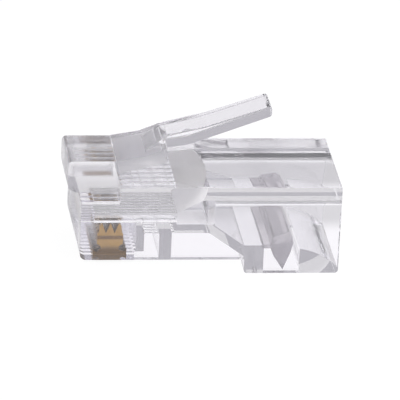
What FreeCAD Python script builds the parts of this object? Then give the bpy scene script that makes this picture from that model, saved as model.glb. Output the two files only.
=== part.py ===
import FreeCAD, Part
import math
import os

import Sketcher

# Clear eight-way modular plug for round or flat data cable, as supplied before it is fitted: the contacts
# stand proud of the underside and the strain relief bar hangs down, both waiting for the crimping tool.
#
# Frame: +X runs from the nose to the cable end, +Z is up on the latch side, +Y completes the frame. The
# origin is the middle of the footprint, level with the underside of the heel. Lengths are in millimetres.

# Driving dimensions. "..._at" is a station along the plug, measured back from the front of the nose block,
# and "..._z" is a height above the underside of the heel.
SIZES = {
    # outer form of the moulding
    "overall_length": 23.1,
    "body_width": 11.68,
    "face_at": 0.96,
    "shoulder_at": 4.26,
    "heel_at": 14.97,
    "rear_draft": 0.08,
    "belly_z": 1.25,
    "shoulder_z": 6.3,
    "top_z": 7.75,
    "edge_round": 0.28,
    "chin_round": 0.55,
    "face_round": 0.32,
    # nose block that carries the latch
    "nose_width": 6.17,
    "nose_top_z": 9.1,
    "nose_side_round": 0.5,
    "nose_chin_round": 0.45,
    "nose_brow_round": 0.25,
    # latch
    "hinge_z": 8.57,
    "root_radius": 0.53,
    "hinge_clearance": 0.04,
    "arm_kink_at": 6.6,
    "arm_kink_z": 9.55,
    "catch_at": 8.36,
    "catch_z": 10.27,
    "catch_heel_at": 8.42,
    "catch_heel_z": 8.99,
    "lever_width": 3.4,
    "lever_start_at": 8.25,
    "lever_start_z": 10.85,
    "lever_bend_at": 11.9,
    "lever_bend_z": 11.75,
    "lever_tip_at": 17.35,
    "lever_tip_z": 13.56,
    "lever_tip_under_z": 12.62,
    "lever_under_bend_at": 10.3,
    "lever_under_bend_z": 10.04,
    "lever_under_start_at": 8.5,
    "lever_under_start_z": 9.8,
    "lever_overlap": 0.4,
    "lever_heel_inset": 0.3,
    "lever_round": 0.16,
    "tip_round": 0.3,
    # contacts and their slots
    "contact_pitch": 1.02,
    "contact_thickness": 0.35,
    "contact_middle_at": 3.625,
    "contact_foot_z": 0.87,
    "contact_foot_length": 2.85,
    "contact_web_length": 2.2,
    "contact_web_foot": 0.965,
    "contact_notch_radius": 0.33,
    "contact_crown_length": 1.9,
    "contact_neck": 2.23,
    "contact_crown_foot": 2.38,
    "contact_cheek": 2.9,
    "contact_height": 3.2,
    "prong_spread": 0.72,
    "prong_valley": 0.37,
    "prong_valley_height": 2.3,
    "slot_width": 0.42,
    "slot_rear_at": 5.83,
    "slot_roof_z": 4.2,
    "slot_round": 0.4,
    "slot_overlap": 0.2,
    # channels for the eight conductors
    "channel_radius": 0.54,
    "channel_z": 4.62,
    "channel_start_at": 2.2,
    "channel_mouth_at": 9.2,
    # pockets in the underside, one each side of the cross rib
    "front_pocket_at": 6.44,
    "front_pocket_z": 3.4,
    "wall_foot_z": 1.8,
    "rib_front_at": 7.73,
    "rib_rear_at": 8.78,
    "rear_pocket_z": 3.45,
    "rear_pocket_bend_at": 11.97,
    "rear_pocket_heel_z": 1.33,
    "pocket_width": 9.8,
    # cable cavity
    "funnel_width": 8.9,
    "funnel_floor_z": 4.12,
    "funnel_roof_z": 5.14,
    "funnel_rear_at": 11.4,
    "cavity_width": 9.8,
    "funnel_flare_at": 11.8,
    "cavity_roof_z": 6.28,
    "cavity_corner": 0.45,
    "cavity_crown_z": 6.6,
    "ramp_at": 12.4,
    "ramp_foot_at": 14.95,
    "beam_z": 2.3,
    "beam_rear_at": 16.69,
    "window_rear_at": 19.75,
    "sill_z": 1.97,
    "sill_radius": 5.4,
    "sill_rear_z": 0.2,
    # strain relief bar
    "bar_width": 9.5,
    "bar_root_radius": 0.17,
    "bar_root_clearance": 0.03,
    "bar_neck_at": 17.28,
    "bar_front_at": 17.56,
    "bar_front_z": 1.25,
    "bar_edge_at": 18.37,
    "bar_edge_z": 0.03,
    "bar_rear_at": 19.0,
    "bar_rear_z": 1.6,
    "bar_heel_at": 19.2,
    "bar_heel_z": 2.4,
    "bar_back_at": 19.13,
    "bar_back_z": 3.0,
    "bar_top_at": 18.78,
    "bar_top_z": 3.5,
    "bar_saddle_at": 17.48,
    "bar_saddle_z": 3.0,
}

CONTACTS = 8
OUTWARDS = 1
INWARDS = -1


class Measure:
    """A length with its value and the sheet expression that drives it."""

    def __init__(self, value, text):
        self.value = value
        self.text = text

    def __add__(self, other):
        other = measure(other)
        return Measure(self.value + other.value, f"({self.text} + {other.text})")

    def __sub__(self, other):
        other = measure(other)
        return Measure(self.value - other.value, f"({self.text} - {other.text})")

    def __mul__(self, factor):
        return Measure(self.value * factor, f"{self.text} * {factor}")

    def __truediv__(self, divisor):
        return Measure(self.value / divisor, f"{self.text} / {divisor}")

    def __neg__(self):
        return Measure(-self.value, f"(-1 * {self.text})")


def measure(length):
    """A plain number as a measure; a measure is given back as it is."""
    if isinstance(length, Measure):
        return length
    return Measure(float(length), f"({float(length)})")


def size(name):
    """The measure of one cell of the sheet."""
    return Measure(SIZES[name], f"sizes.{name}")


def station(name):
    """Where a station lies along X."""
    return size(name) - size("overall_length") / 2


def spot(name):
    """The X and Z of a corner whose station and height share one name."""
    return station(f"{name}_at"), size(f"{name}_z")


def fill_sheet(doc):
    """Put the driving dimensions in the document's sheet."""
    sheet = doc.addObject("Spreadsheet::Sheet", "sizes")
    for row, (name, value) in enumerate(SIZES.items(), start=1):
        sheet.set(f"A{row}", name)
        sheet.set(f"B{row}", str(value))
        sheet.setAlias(f"B{row}", name)
    doc.recompute()


def add_body(doc, label):
    """A new body whose label is its node's name."""
    body = doc.addObject("PartDesign::Body", label)
    body.Label = label
    return body


def add_sketch(body, name, role, offset=None):
    """A sketch on one of the body's own planes, moved along its normal by the offset."""
    sketch = body.newObject("Sketcher::SketchObject", name)
    plane = next(item for item in body.Origin.OriginFeatures if item.Role == role)
    sketch.AttachmentSupport = (plane, [""])
    sketch.MapMode = "FlatFace"
    if offset is not None:
        sketch.setExpression(".AttachmentOffset.Base.z", offset.text)
    return sketch


def pin_point(sketch, curve, end, point):
    """Fix one end of a curve by its two coordinates."""
    for kind, length in zip(("DistanceX", "DistanceY"), point):
        constraint = sketch.addConstraint(Sketcher.Constraint(kind, -1, 1, curve, end, length.value))
        sketch.setExpression(f"Constraints[{constraint}]", length.text)


def vector(point):
    """A sketch point from two measures."""
    return FreeCAD.Vector(point[0].value, point[1].value, 0)


def bowed_arc(start, end, radius, bulge):
    """The arc that bulges outwards or inwards from one side of an outline; arcs run anticlockwise."""
    chord = end - start
    half = chord.Length / 2
    sagitta = radius - math.sqrt(radius * radius - half * half)
    outwards = FreeCAD.Vector(chord.y, -chord.x, 0).normalize()
    middle = (start + end) / 2 + outwards * sagitta * bulge
    return Part.Arc(start, middle, end) if bulge == OUTWARDS else Part.Arc(end, middle, start)


def draw_outline(sketch, corners, bows=None):
    """Draw a closed outline anticlockwise; bows gives some sides, by number, a radius and a bulge."""
    bows = bows or {}
    points = [(measure(x), measure(y)) for x, y in corners]
    starts, ends = [], []
    for index, point in enumerate(points):
        start, end = vector(point), vector(points[(index + 1) % len(points)])
        if index in bows:
            radius, bulge = bows[index]
            curve = sketch.addGeometry(bowed_arc(start, end, radius.value, bulge), False)
            starts.append((curve, 1 if bulge == OUTWARDS else 2))
            ends.append((curve, 2 if bulge == OUTWARDS else 1))
        else:
            curve = sketch.addGeometry(Part.LineSegment(start, end), False)
            starts.append((curve, 1))
            ends.append((curve, 2))
    for index, (curve, end) in enumerate(ends):
        following = starts[(index + 1) % len(points)]
        sketch.addConstraint(Sketcher.Constraint("Coincident", curve, end, *following))
    for (curve, end), point in zip(starts, points):
        pin_point(sketch, curve, end, point)
    for index, (radius, _) in bows.items():
        curve = starts[index][0]
        constraint = sketch.addConstraint(Sketcher.Constraint("Radius", curve, radius.value))
        sketch.setExpression(f"Constraints[{constraint}]", radius.text)


def tangent_point(centre, radius, point, side):
    """Where the line from point touches the circle, on the given side of the line to its centre."""
    away = point - centre
    turn = side * math.acos(radius / away.Length)
    angle = math.atan2(away.y, away.x) + turn
    return centre + FreeCAD.Vector(radius * math.cos(angle), radius * math.sin(angle), 0)


def draw_rooted_outline(sketch, pivot, radius, corners):
    """Draw an outline that starts and ends tangent to a round root about the pivot."""
    points = [(measure(x), measure(y)) for x, y in corners]
    centre = vector(pivot)
    first = tangent_point(centre, radius.value, vector(points[0]), -1)
    last = tangent_point(centre, radius.value, vector(points[-1]), 1)
    start_angle = math.atan2(last.y - centre.y, last.x - centre.x)
    end_angle = math.atan2(first.y - centre.y, first.x - centre.x) + 2 * math.pi
    circle = Part.Circle(centre, FreeCAD.Vector(0, 0, 1), radius.value)
    root = sketch.addGeometry(Part.ArcOfCircle(circle, start_angle, end_angle), False)
    chain = [first] + [vector(point) for point in points] + [last]
    lines = [
        sketch.addGeometry(Part.LineSegment(start, end), False) for start, end in zip(chain, chain[1:])
    ]
    for line, following in zip(lines, lines[1:]):
        sketch.addConstraint(Sketcher.Constraint("Coincident", line, 2, following, 1))
    sketch.addConstraint(Sketcher.Constraint("Tangent", lines[0], 1, root, 2))
    sketch.addConstraint(Sketcher.Constraint("Tangent", lines[-1], 2, root, 1))
    pin_point(sketch, root, 3, pivot)
    constraint = sketch.addConstraint(Sketcher.Constraint("Radius", root, radius.value))
    sketch.setExpression(f"Constraints[{constraint}]", radius.text)
    for line, point in zip(lines[1:], points):
        pin_point(sketch, line, 1, point)


def draw_circle(sketch, centre, radius):
    """Draw a circle with a driven centre and radius."""
    circle = sketch.addGeometry(Part.Circle(vector(centre), FreeCAD.Vector(0, 0, 1), radius.value), False)
    pin_point(sketch, circle, 3, centre)
    constraint = sketch.addConstraint(Sketcher.Constraint("Radius", circle, radius.value))
    sketch.setExpression(f"Constraints[{constraint}]", radius.text)


def draw_block(sketch, low, high):
    """Draw the upright rectangle between two opposite corners."""
    draw_outline(sketch, [low, (high[0], low[1]), high, (low[0], high[1])])


def pad(body, sketch, length):
    """Pad a profile by half the length to each side of its plane."""
    feature = body.newObject("PartDesign::Pad", f"{sketch.Name}_pad")
    feature.Profile = sketch
    feature.SideType = "Symmetric"
    feature.setExpression("Length", length.text)
    body.Document.recompute()
    return feature


def cut(body, sketch, length):
    """Cut a profile by half the length to each side of its plane, and make sure that it removes material."""
    before = body.Shape.Volume
    feature = body.newObject("PartDesign::Pocket", f"{sketch.Name}_cut")
    feature.Profile = sketch
    feature.SideType = "Symmetric"
    feature.setExpression("Length", length.text)
    body.Document.recompute()
    if not feature.Shape.Volume < before:
        raise RuntimeError(f"{feature.Name} cuts nothing")
    return feature


def cut_forwards(body, sketch, length=None, face_point=None):
    """Cut a profile towards the nose, by a length or as far as the face that the point lies on."""
    before = body.Shape.Volume
    feature = body.newObject("PartDesign::Pocket", f"{sketch.Name}_cut")
    feature.Profile = sketch
    if face_point is None:
        feature.setExpression("Length", length.text)
    else:
        feature.Type = "UpToFace"
        feature.UpToFace = (feature.BaseFeature, [face_through(feature.BaseFeature.Shape, face_point)])
    body.Document.recompute()
    if not feature.Shape.Volume < before:
        raise RuntimeError(f"{feature.Name} cuts nothing")
    return feature


def repeat(body, feature, axis_role, pitch, count, reversed_way=False):
    """Repeat a feature in a row along one of the body's axes."""
    axis = next(item for item in body.Origin.OriginFeatures if item.Role == axis_role)
    pattern = body.newObject("PartDesign::LinearPattern", f"{feature.Name}_row")
    pattern.Originals = [feature]
    pattern.Direction = (axis, [""])
    pattern.Reversed = reversed_way
    pattern.Mode = "Spacing"
    pattern.Occurrences = count
    pattern.setExpression("Offset", pitch.text)
    body.Tip = pattern
    body.Document.recompute()
    return pattern


def round_edges(body, name, radius, chosen):
    """Round the edges of the body that the test picks by their middle point and direction."""
    base = body.Tip
    names = []
    for number, edge in enumerate(base.Shape.Edges, start=1):
        middle = edge.valueAt((edge.FirstParameter + edge.LastParameter) / 2)
        way = edge.valueAt(edge.LastParameter) - edge.valueAt(edge.FirstParameter)
        if chosen(middle, way):
            names.append(f"Edge{number}")
    if not names:
        raise RuntimeError(f"{name} finds no edge")
    fillet = body.newObject("PartDesign::Fillet", name)
    fillet.Base = (base, names)
    fillet.setExpression("Radius", radius.text)
    body.Document.recompute()
    return fillet


def near(value, target, slack=0.02):
    """Whether a coordinate is at the target."""
    return abs(value - target) < slack


def runs_along(way, axis):
    """Whether an edge's direction is along the axis, given as 0, 1 or 2."""
    return way.Length > 0 and abs(way[axis]) > 0.99 * way.Length


def pivot_of_latch():
    """Axis of the latch's flexible root, as X and Z."""
    return station("shoulder_at"), size("hinge_z")


def pivot_of_bar():
    """Axis of the strain relief bar's flexible root, as X and Z."""
    return station("beam_rear_at"), size("beam_z") - size("bar_root_radius")


def add_shell(body):
    """Outer form: a long box with a lower nose and a heel, and the block that carries the latch."""
    front, shoulder, heel = station("face_at"), station("shoulder_at"), station("heel_at")
    rear = station("overall_length")
    floor = measure(0)
    side = add_sketch(body, "shell", "XZ_Plane")
    draw_outline(
        side,
        [
            (front, size("belly_z")),
            (heel, size("belly_z")),
            (heel, floor),
            (rear - size("rear_draft"), floor),
            (rear, size("top_z")),
            (shoulder, size("top_z")),
            (shoulder, size("shoulder_z")),
            (front, size("shoulder_z")),
        ],
    )
    pad(body, side, size("body_width"))
    half = SIZES["body_width"] / 2
    heel_x, rear_x, front_x = heel.value, rear.value, front.value
    round_edges(
        body,
        "face_rounds",
        size("face_round"),
        lambda middle, way: near(middle.x, front_x) and runs_along(way, 2),
    )
    round_edges(
        body,
        "chin_round",
        size("chin_round"),
        lambda middle, way: near(middle.x, front_x) and near(middle.z, SIZES["belly_z"]),
    )
    round_edges(
        body,
        "top_rounds",
        size("edge_round"),
        lambda middle, way: near(middle.z, SIZES["top_z"]) and near(abs(middle.y), half),
    )
    round_edges(
        body,
        "heel_rounds",
        size("edge_round"),
        lambda middle, way: near(middle.z, 0)
        and runs_along(way, 1)
        and (near(middle.x, heel_x) or near(middle.x, rear_x - SIZES["rear_draft"])),
    )


def add_nose_block(body):
    """Solid block over the nose, with the round seat of the latch's root in its rear face."""
    nose_x = -SIZES["overall_length"] / 2
    low = (-size("overall_length") / 2, size("shoulder_z"))
    high = (station("shoulder_at"), size("nose_top_z"))
    side = add_sketch(body, "nose_block", "XZ_Plane")
    draw_block(side, low, high)
    pad(body, side, size("nose_width"))
    round_edges(
        body,
        "nose_side_rounds",
        size("nose_side_round"),
        lambda middle, way: near(middle.x, nose_x) and runs_along(way, 2),
    )
    round_edges(
        body,
        "nose_chin_round",
        size("nose_chin_round"),
        lambda middle, way: near(middle.x, nose_x) and near(middle.z, SIZES["shoulder_z"]),
    )
    round_edges(
        body,
        "nose_brow_round",
        size("nose_brow_round"),
        lambda middle, way: near(middle.x, nose_x) and near(middle.z, SIZES["nose_top_z"]),
    )
    seat = add_sketch(body, "latch_seat", "XZ_Plane")
    draw_circle(seat, pivot_of_latch(), size("root_radius") + size("hinge_clearance"))
    cut(body, seat, size("body_width"))


def add_channels(body):
    """Eight round channels side by side that lead the conductors over the contacts."""
    section = add_sketch(body, "channel", "YZ_Plane", offset=station("channel_start_at"))
    first = (-size("contact_pitch") * (CONTACTS - 1) / 2, size("channel_z"))
    draw_circle(section, first, size("channel_radius"))
    before = body.Shape.Volume
    bore = body.newObject("PartDesign::Pocket", "channel_cut")
    bore.Profile = section
    bore.Reversed = True
    bore.setExpression("Length", (size("channel_mouth_at") - size("channel_start_at")).text)
    body.Document.recompute()
    if not bore.Shape.Volume < before:
        raise RuntimeError("channel cuts nothing")
    repeat(body, bore, "Y_Axis", size("contact_pitch"), CONTACTS)


def add_contact_slots(body):
    """Eight narrow slots for the contact blades, open at the underside and the face."""
    first = size("contact_pitch") * (CONTACTS - 1) / 2
    side = add_sketch(body, "contact_slot", "XZ_Plane", offset=first)
    under = measure(0)
    front = station("face_at") - size("edge_round")
    rear = station("slot_rear_at")
    corner = size("slot_round")
    draw_outline(
        side,
        [
            (front, under),
            (rear, under),
            (rear, size("slot_roof_z") - corner),
            (rear - corner, size("slot_roof_z")),
            (front, size("slot_roof_z")),
        ],
        bows={2: (corner, OUTWARDS)},
    )
    slot = cut(body, side, size("slot_width"))
    repeat(body, slot, "Y_Axis", size("contact_pitch"), CONTACTS)


def add_belly_pockets(body):
    """Two pockets that core out the underside, with a cross rib left standing between them."""
    under = measure(0)
    front = add_sketch(body, "front_pocket", "XZ_Plane")
    draw_outline(
        front,
        [
            (station("slot_rear_at") - size("slot_overlap"), under),
            (station("rib_front_at"), under),
            (station("rib_front_at"), size("front_pocket_z")),
            (station("front_pocket_at"), size("front_pocket_z")),
            (station("front_pocket_at"), size("wall_foot_z")),
            (station("slot_rear_at") - size("slot_overlap"), size("wall_foot_z")),
        ],
    )
    cut(body, front, size("pocket_width"))

    rear = add_sketch(body, "rear_pocket", "XZ_Plane")
    draw_outline(
        rear,
        [
            (station("rib_rear_at"), under),
            (station("heel_at"), under),
            (station("heel_at"), size("rear_pocket_heel_z")),
            (station("rear_pocket_bend_at"), size("rear_pocket_z")),
            (station("rib_rear_at"), size("rear_pocket_z")),
        ],
    )
    cut(body, rear, size("pocket_width"))


def add_cable_cavity(body):
    """Mouth for the cable: funnel behind the channels, ramped floor, window for the bar and a curved sill."""
    rear = station("overall_length")
    funnel = add_sketch(body, "funnel", "XZ_Plane")
    draw_outline(
        funnel,
        [
            (station("channel_mouth_at"), size("funnel_floor_z")),
            (station("ramp_at"), size("funnel_floor_z")),
            (station("ramp_at"), size("cavity_roof_z")),
            (station("funnel_rear_at"), size("cavity_roof_z")),
            (station("channel_mouth_at"), size("funnel_roof_z")),
        ],
    )
    cut(body, funnel, size("funnel_width"))

    wall_top = size("cavity_roof_z") - size("cavity_corner")
    height = wall_top - size("funnel_floor_z")
    flare = add_sketch(body, "flare", "XY_Plane", offset=size("funnel_floor_z") + height / 2)
    half_funnel, half_cavity = size("funnel_width") / 2, size("cavity_width") / 2
    draw_outline(
        flare,
        [
            (station("funnel_flare_at"), -half_funnel),
            (station("ramp_at"), -half_cavity),
            (station("ramp_at"), half_cavity),
            (station("funnel_flare_at"), half_funnel),
        ],
    )
    cut(body, flare, height)

    cavity = add_sketch(body, "cavity", "XZ_Plane")
    under = measure(-1)
    draw_outline(
        cavity,
        [
            (station("ramp_at"), wall_top),
            (station("ramp_at"), size("funnel_floor_z")),
            (station("ramp_foot_at"), size("beam_z")),
            (station("beam_rear_at"), size("beam_z")),
            (station("beam_rear_at"), under),
            (station("window_rear_at"), under),
            (station("window_rear_at"), size("sill_z")),
            (rear, size("sill_rear_z")),
            (rear + size("edge_round"), size("sill_rear_z")),
            (rear + size("edge_round"), wall_top),
        ],
        bows={6: (size("sill_radius"), INWARDS)},
    )
    cut(body, cavity, size("cavity_width"))


def add_cavity_roof(body):
    """Roof over the cable: rounded into the side walls, and arched up to the slope of the funnel."""
    behind = station("overall_length") + size("edge_round")
    half, corner = size("cavity_width") / 2, size("cavity_corner")
    springing, roof = half - corner, size("cavity_roof_z")
    corners = add_sketch(body, "roof_corners", "YZ_Plane", offset=behind)
    draw_outline(
        corners,
        [(-half, roof - corner), (half, roof - corner), (springing, roof), (-springing, roof)],
        bows={1: (corner, OUTWARDS), 3: (corner, OUTWARDS)},
    )
    cut_forwards(body, corners, length=behind - station("ramp_at"))

    rise = size("cavity_crown_z") - roof
    radius = Measure(
        (springing.value**2 + rise.value**2) / (2 * rise.value),
        f"(({springing.text}) ^ 2 + {rise.text} ^ 2) / (2 * {rise.text})",
    )
    arch = add_sketch(body, "roof_arch", "YZ_Plane", offset=behind)
    draw_outline(arch, [(-springing, roof), (springing, roof)], bows={1: (radius, OUTWARDS)})
    slope = FreeCAD.Vector(
        (station("channel_mouth_at").value + station("funnel_rear_at").value) / 2,
        0,
        (SIZES["funnel_roof_z"] + SIZES["cavity_roof_z"]) / 2,
    )
    cut_forwards(body, arch, face_point=slope)


def add_bar_seat(body):
    """Round seat of the strain relief bar's root, at the rear edge of the beam."""
    seat = add_sketch(body, "bar_seat", "XZ_Plane")
    draw_circle(seat, pivot_of_bar(), size("bar_root_radius") + size("bar_root_clearance"))
    cut(body, seat, size("cavity_width"))


def make_plug_body(doc):
    """The housing: one clear moulding, apart from the two pieces that flex."""
    plug = add_body(doc, "plug_body")
    add_shell(plug)
    add_nose_block(plug)
    add_channels(plug)
    add_contact_slots(plug)
    add_belly_pockets(plug)
    add_cable_cavity(plug)
    add_cavity_roof(plug)
    add_bar_seat(plug)
    return plug


def make_latch(doc):
    """The latch: a wide arm that ends in two catches, and a narrower lever that rises over the body."""
    latch = add_body(doc, "latch_lever")
    arm = add_sketch(latch, "arm", "XZ_Plane")
    draw_rooted_outline(
        arm,
        pivot_of_latch(),
        size("root_radius"),
        [spot("catch_heel"), spot("catch"), spot("arm_kink")],
    )
    pad(latch, arm, size("nose_width"))
    lever = add_sketch(latch, "lever", "XZ_Plane")
    draw_outline(
        lever,
        [
            (station("arm_kink_at") + size("lever_overlap"), size("arm_kink_z") - size("lever_overlap")),
            (station("catch_at"), size("catch_heel_z") + size("lever_heel_inset")),
            (station("lever_under_start_at"), size("lever_under_start_z")),
            (station("lever_under_bend_at"), size("lever_under_bend_z")),
            (station("lever_tip_at"), size("lever_tip_under_z")),
            (station("lever_tip_at"), size("lever_tip_z")),
            (station("lever_bend_at"), size("lever_bend_z")),
            (station("lever_start_at"), size("lever_start_z")),
            spot("arm_kink"),
        ],
    )
    pad(latch, lever, size("lever_width"))
    tip_x = station("lever_tip_at").value
    half = SIZES["lever_width"] / 2
    free_x = (station("catch_heel_at") + size("lever_heel_inset")).value
    round_edges(
        latch,
        "tip_rounds",
        size("tip_round"),
        lambda middle, way: near(middle.x, tip_x) and (runs_along(way, 1) or runs_along(way, 2)),
    )
    round_edges(
        latch,
        "lever_rounds",
        size("lever_round"),
        lambda middle, way: near(abs(middle.y), half) and middle.x > free_x,
    )
    return latch


def make_bar(doc):
    """The strain relief bar: a wedge across the window, on a thin web that folds when it is pressed in."""
    bar = add_body(doc, "strain_relief_bar")
    side = add_sketch(bar, "bar", "XZ_Plane")
    neck_top = (station("bar_neck_at"), size("beam_z"))
    neck_foot = (station("bar_neck_at"), size("beam_z") - size("bar_root_radius") * 2)
    draw_rooted_outline(
        side,
        pivot_of_bar(),
        size("bar_root_radius"),
        [
            neck_foot,
            spot("bar_front"),
            spot("bar_edge"),
            spot("bar_rear"),
            spot("bar_heel"),
            spot("bar_back"),
            spot("bar_top"),
            spot("bar_saddle"),
            neck_top,
        ],
    )
    pad(bar, side, size("bar_width"))
    return bar


def make_contact(doc, number):
    """One contact blade: a foot with two notches, a web and a crown of three prongs that pierce the wire."""
    contact = add_body(doc, f"contact_{number}")
    place = size("contact_pitch") * ((CONTACTS + 1) / 2 - number)
    side = add_sketch(contact, f"blade_{number}", "XZ_Plane", offset=place)
    middle, foot = station("contact_middle_at"), size("contact_foot_z")
    half_foot, half_web = size("contact_foot_length") / 2, size("contact_web_length") / 2
    half_crown = size("contact_crown_length") / 2
    ledge, neck = foot + size("contact_web_foot"), foot + size("contact_neck")
    waist, cheek = foot + size("contact_crown_foot"), foot + size("contact_cheek")
    valley, tip = foot + size("prong_valley_height"), foot + size("contact_height")
    rear_half = [
        (half_foot, foot),
        (half_foot, ledge),
        (half_web, ledge),
        (half_web, neck),
        (half_crown, waist),
        (half_crown, cheek),
        (size("prong_spread"), tip),
        (size("prong_valley"), valley),
    ]
    front_half = [(-across, height) for across, height in reversed(rear_half)]
    corners = rear_half + [(measure(0), tip)] + front_half
    draw_outline(side, [(middle + across, height) for across, height in corners])
    pad(contact, side, size("contact_thickness"))
    notches = add_sketch(contact, f"notches_{number}", "XZ_Plane", offset=place)
    for way in (half_web, -half_web):
        draw_circle(notches, (middle + way, ledge), size("contact_notch_radius"))
    cut(contact, notches, size("contact_thickness"))
    return contact


def face_through(shape, point):
    """Name of the face of a shape that a point lies on."""
    for number, face in enumerate(shape.Faces, start=1):
        if face.distToShape(Part.Vertex(point))[0] < 1e-4:
            return f"Face{number}"
    raise RuntimeError("no face goes through the point")


def check_document(doc, sub_parts):
    """Stop if any object failed or any sub-part is not one valid solid."""
    for item in doc.Objects:
        if "Invalid" in item.State or "Error" in item.State:
            raise RuntimeError(f"{item.Name} failed: {item.State}")
    for item in sub_parts:
        if item.Shape.isNull() or not item.Shape.isValid() or len(item.Shape.Solids) != 1:
            raise RuntimeError(f"{item.Label} is not one valid solid")


def main():
    """Build the document and write one file for each sub-part."""
    doc = FreeCAD.newDocument("modular_plug")
    fill_sheet(doc)
    sub_parts = [make_plug_body(doc), make_latch(doc), make_bar(doc)]
    sub_parts += [make_contact(doc, number) for number in range(1, CONTACTS + 1)]
    doc.recompute()
    check_document(doc, sub_parts)
    os.makedirs("parts", exist_ok=True)
    for item in sub_parts:
        item.Shape.exportStep(f"parts/{item.Label}.step")
        box = item.Shape.BoundBox
        print(f"{item.Label}: {item.Shape.Volume:.2f} mm3, x {box.XMin:.2f} to {box.XMax:.2f}, "
              f"z {box.ZMin:.2f} to {box.ZMax:.2f}")


main()
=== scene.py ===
import logging
import math
from dataclasses import dataclass
from enum import Enum
from typing import Callable, Sequence

import bmesh
import bpy
from mathutils import Matrix, Vector


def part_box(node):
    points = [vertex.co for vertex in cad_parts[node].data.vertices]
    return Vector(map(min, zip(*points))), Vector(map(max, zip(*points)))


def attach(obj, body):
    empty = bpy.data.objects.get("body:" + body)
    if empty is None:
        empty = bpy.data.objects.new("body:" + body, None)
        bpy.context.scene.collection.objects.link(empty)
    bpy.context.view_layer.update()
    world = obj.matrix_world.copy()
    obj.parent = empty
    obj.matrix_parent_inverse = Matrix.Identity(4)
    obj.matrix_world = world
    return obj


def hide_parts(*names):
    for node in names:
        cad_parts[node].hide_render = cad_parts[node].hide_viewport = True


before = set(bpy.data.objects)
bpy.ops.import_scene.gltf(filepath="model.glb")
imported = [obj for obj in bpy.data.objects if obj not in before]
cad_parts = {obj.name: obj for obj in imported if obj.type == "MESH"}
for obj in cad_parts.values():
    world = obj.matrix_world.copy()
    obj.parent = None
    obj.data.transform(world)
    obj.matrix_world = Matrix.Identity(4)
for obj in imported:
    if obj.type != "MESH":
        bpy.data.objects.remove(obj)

LOG = logging.getLogger("modular_plug")
MM = 0.001
MERGE = 0.001 * MM
HAIR = 0.001
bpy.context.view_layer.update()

Colour = tuple[float, float, float]


class Way(Enum):
    """The direction in which an outline is drawn out into a prism."""

    ACROSS = "across"
    ALONG = "along"
    UP = "up"


class Cut(Enum):
    """How one solid acts on another."""

    JOIN = "UNION"
    REMOVE = "DIFFERENCE"
    KEEP_COMMON = "INTERSECT"


@dataclass(frozen=True)
class Corner:
    """One corner of an outline, in millimetres, with the radius that rounds it."""

    u: float
    v: float
    radius: float = 0.0


@dataclass(frozen=True)
class Round:
    """A radius in millimetres and the test that picks the edges that it rounds."""

    radius: float
    picks: Callable[[Vector, Vector], bool]


@dataclass(frozen=True)
class Datum:
    """Turns stations along the plug, measured back from the nose, into the frame's own X."""

    nose: float

    def x(self, station: float) -> float:
        """Give the X of a station, in millimetres.

        Args:
            station: Distance behind the front of the nose block, in millimetres.

        Returns:
            The X coordinate in the shared frame, in millimetres.
        """
        return self.nose / MM + station

    def corner(self, station: float, height: float, radius: float = 0.0) -> Corner:
        """Give the corner at a station and height.

        Args:
            station: Distance behind the front of the nose block, in millimetres.
            height: Height above the underside of the heel, in millimetres.
            radius: Radius that rounds the corner, in millimetres.

        Returns:
            The corner in the shared frame.
        """
        return Corner(self.x(station), height, radius)


def arc_points(centre: Vector, radius: float, start: float, sweep: float, step: float = 0.11) -> list[Vector]:
    """Place points along an arc.

    Args:
        centre: Centre of the arc.
        radius: Radius of the arc.
        start: Angle of the first point, in radians.
        sweep: Signed angle that the arc turns through, in radians.
        step: Largest angle between neighbouring points, in radians.

    Returns:
        The points from the start to the end of the arc.
    """
    count = max(2, math.ceil(abs(sweep) / step))
    angles = (start + sweep * index / count for index in range(count + 1))
    return [centre + Vector((math.cos(angle), math.sin(angle))) * radius for angle in angles]


def rounded(corners: Sequence[Corner]) -> list[Vector]:
    """Turn corners into the points of a closed outline, each rounded by its own radius.

    Args:
        corners: Corners in order round the outline.

    Returns:
        The points of the outline.
    """
    points: list[Vector] = []
    for index, corner in enumerate(corners):
        here = Vector((corner.u, corner.v))
        if corner.radius <= 0:
            points.append(here)
            continue
        before, after = corners[index - 1], corners[(index + 1) % len(corners)]
        back = (Vector((before.u, before.v)) - here).normalized()
        ahead = (Vector((after.u, after.v)) - here).normalized()
        half = back.angle(ahead) / 2
        centre = here + (back + ahead).normalized() * (corner.radius / math.sin(half))
        first = here + back * (corner.radius / math.tan(half)) - centre
        last = here + ahead * (corner.radius / math.tan(half)) - centre
        turn = math.atan2(first.x * last.y - first.y * last.x, first.dot(last))
        points += arc_points(centre, corner.radius, math.atan2(first.y, first.x), turn)
    return points


def rooted(pivot: Vector, radius: float, corners: Sequence[Corner]) -> list[Vector]:
    """Outline a piece that leaves a round root on two tangents.

    Args:
        pivot: Axis of the root.
        radius: Radius of the root, in millimetres.
        corners: The rest of the outline in order, from below the root round to above it.

    Returns:
        The points of the outline, root included.
    """

    def touch(corner: Corner, side: int) -> float:
        """Give the angle at which the tangent from a corner meets the root, on one side of it."""
        away = Vector((corner.u, corner.v)) - pivot
        return math.atan2(away.y, away.x) + side * math.acos(radius / away.length)

    first, last = touch(corners[0], -1), touch(corners[-1], 1)
    sweep = (first - last) % (2 * math.pi)
    root = arc_points(pivot, radius, last, sweep, step=0.09)
    ends = [Corner(root[-1].x, root[-1].y), *corners, Corner(root[0].x, root[0].y)]
    return root + rounded(ends)[1:-1]


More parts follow.
